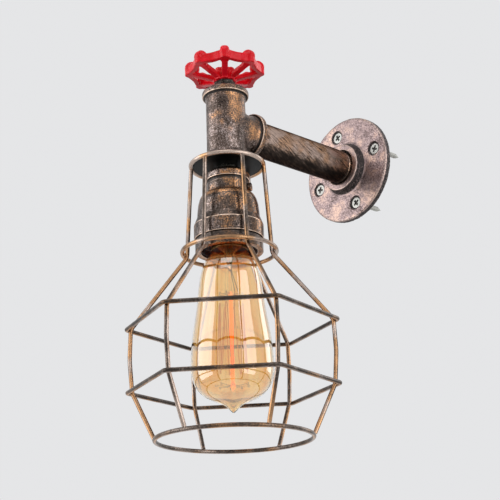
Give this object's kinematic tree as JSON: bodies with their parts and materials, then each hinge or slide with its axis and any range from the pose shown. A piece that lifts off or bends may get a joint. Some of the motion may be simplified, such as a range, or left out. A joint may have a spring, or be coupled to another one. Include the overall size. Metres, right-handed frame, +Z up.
{
  "type": "industrial pipe wall light",
  "caption": "Wall light of threaded pipe fittings: round flange, horizontal arm, tee with a red handwheel on top, and a bulb socket hanging in a flared wire cage.",
  "frame": {"origin": "centre of the flange's back face, on the wall plane", "axes": "+Y points into the wall, the arm runs out along -Y, +Z is up and the lamp axis is vertical"},
  "size_m": [0.1482, 0.2368, 0.2932],
  "materials": {
    "flange_iron": "sand cast, mottled copper bronze",
    "fitting_iron": "sand cast, dark bronze with copper wear",
    "pipe_iron": "black with helical brushed copper streaks",
    "wheel_red": "gloss enamel",
    "valve_steel": "dark, rough turned",
    "screw_zinc": "bright zinc",
    "cage_wire": "dark bronze, rubbed to copper",
    "disc_black": "gloss black",
    "socket_bronze": "antique bronze, mottled",
    "contact_brass": "plain turned",
    "insulator_black": "moulded, glossy",
    "bulb_glass": "amber, glossy",
    "mount_glass": "clear, glossy",
    "filament": "fine carbon wire",
    "wire_sleeve": "smooth",
    "connector_cream": "smooth"
  },
  "bodies": {
    "fixture": {"wall_flange": "flange_iron", "wall_screws": "screw_zinc", "arm_pipe": "pipe_iron", "connector_block": "connector_cream", "connector_clamps": "contact_brass", "pipe_tee": "fitting_iron", "top_bushing": "valve_steel", "packing_nut": "valve_steel", "bottom_bushing": "fitting_iron", "threaded_tube": "contact_brass", "tube_locknuts": "valve_steel", "cage_disc": "disc_black", "socket_cap": "socket_bronze", "socket_collar": "socket_bronze", "socket_shell": "socket_bronze", "shade_ring": "socket_bronze", "retaining_ring": "socket_bronze", "socket_insulator": "insulator_black", "contact_shell": "contact_brass", "centre_contact": "contact_brass", "terminal_screws": "contact_brass", "socket_lock_screw": "socket_bronze", "lead_wires": "wire_sleeve", "cage_top_ring": "cage_wire", "cage_middle_ring": "cage_wire", "cage_bottom_ring": "cage_wire", "cage_upper_hexagon": "cage_wire", "cage_lower_hexagon": "cage_wire", "cage_rod_1": "cage_wire", "cage_rod_2": "cage_wire", "cage_rod_3": "cage_wire", "cage_rod_4": "cage_wire", "cage_rod_5": "cage_wire", "cage_rod_6": "cage_wire"},
    "valve_wheel": {"handwheel": "wheel_red", "valve_stem": "valve_steel", "wheel_washer": "screw_zinc", "wheel_nut": "screw_zinc"},
    "bulb_slider": {"bulb_contact": "screw_zinc", "bulb_insulator": "insulator_black"},
    "bulb": {"bulb_cap": "contact_brass", "bulb_glass": "bulb_glass", "bulb_stem": "mount_glass", "filament_supports": "screw_zinc", "filament_leads": "screw_zinc", "filament": "filament"}
  },
  "joints": [
    {"name": "handwheel_turn", "type": "hinge", "parent": "fixture", "child": "valve_wheel", "pos_m": [0, -0.136, 0], "axis": [0, 0, 1], "continuous": true},
    {"name": "bulb_travel", "type": "slide", "parent": "fixture", "child": "bulb_slider", "axis": [0, 0, -1], "range_m": [0, 0.01087]},
    {"name": "bulb_turn", "type": "hinge", "parent": "bulb_slider", "child": "bulb", "pos_m": [0, -0.136, 0], "axis": [0, 0, -1], "range_deg": [0, 1080]}
  ],
  "couplings": [
    {"joint": "bulb_travel", "follows": "bulb_turn", "m_per_rad": 0.00057614}
  ]
}
